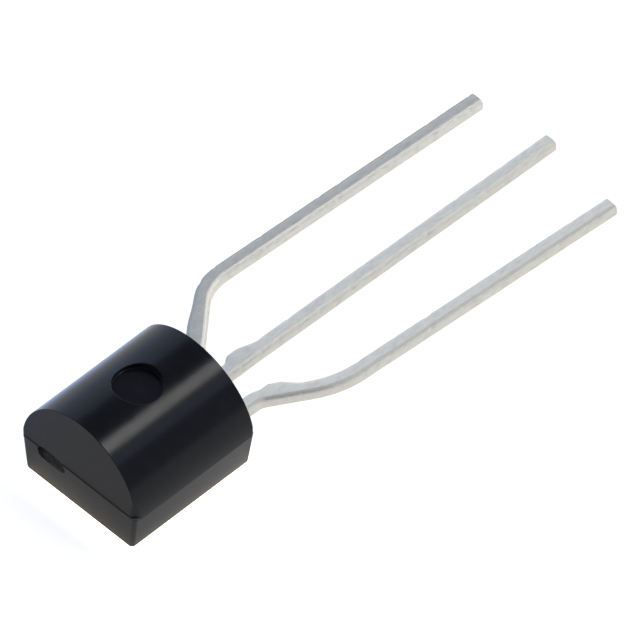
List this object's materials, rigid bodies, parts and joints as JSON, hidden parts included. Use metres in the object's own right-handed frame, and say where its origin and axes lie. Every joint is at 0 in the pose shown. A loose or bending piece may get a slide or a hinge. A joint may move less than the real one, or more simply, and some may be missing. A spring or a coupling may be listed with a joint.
{
  "type": "voltage reference chip",
  "caption": "Leaded voltage reference in a D-shaped moulded package, its outer leads formed outwards for a wider row of board holes.",
  "frame": {"origin": "centre of the body's flat face, which lies on the surface that the part rests on", "axes": "+Z out of the flat face through the round half, +Y along the leads, away from the body, +X to the right with the leads pointing away"},
  "size_m": [0.0061, 0.0193, 0.0037],
  "materials": {
    "mould_epoxy": "fine moulded, satin",
    "tinned_strip": "matt tin plating on stamped strip",
    "die_glue": "silver-filled resin",
    "silicon": "polished",
    "bond_wire": "drawn wire"
  },
  "bodies": {
    "root": {"moulded_body": "mould_epoxy", "lead_left": "tinned_strip", "lead_middle": "tinned_strip", "lead_right": "tinned_strip", "die_attach": "die_glue", "die": "silicon", "bond_wire_left": "bond_wire", "bond_wire_middle": "bond_wire", "bond_wire_right": "bond_wire"}
  },
  "joints": []
}
